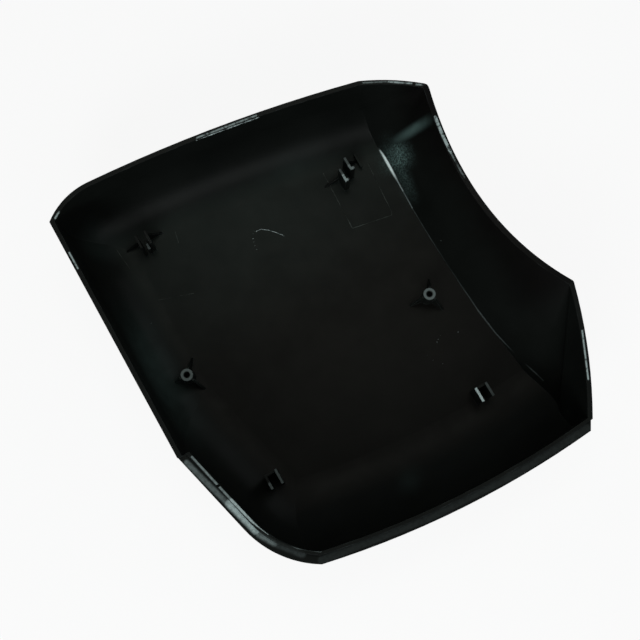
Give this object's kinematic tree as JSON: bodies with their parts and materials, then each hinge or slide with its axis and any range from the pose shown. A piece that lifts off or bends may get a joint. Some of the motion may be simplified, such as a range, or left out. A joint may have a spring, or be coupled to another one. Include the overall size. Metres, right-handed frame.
{
  "type": "mirror back cover",
  "caption": "One-piece moulded back cover for a vehicle mirror: shallow shell with a scooped ramp edge, stepped lip, gusseted screw bosses and clip prongs inside.",
  "frame": {"origin": "on the flat underside that the cover rests on, in the middle of the flat floor", "axes": "+Z out of the open side, +Y from the stepped lip towards the plain edge, +X towards the ramp and its scoop"},
  "size_m": [0.2508, 0.2766, 0.056],
  "materials": {
    "cover_plastic": "satin black, fine moulded grain"
  },
  "bodies": {
    "root": {"back_cover": "cover_plastic"}
  },
  "joints": []
}
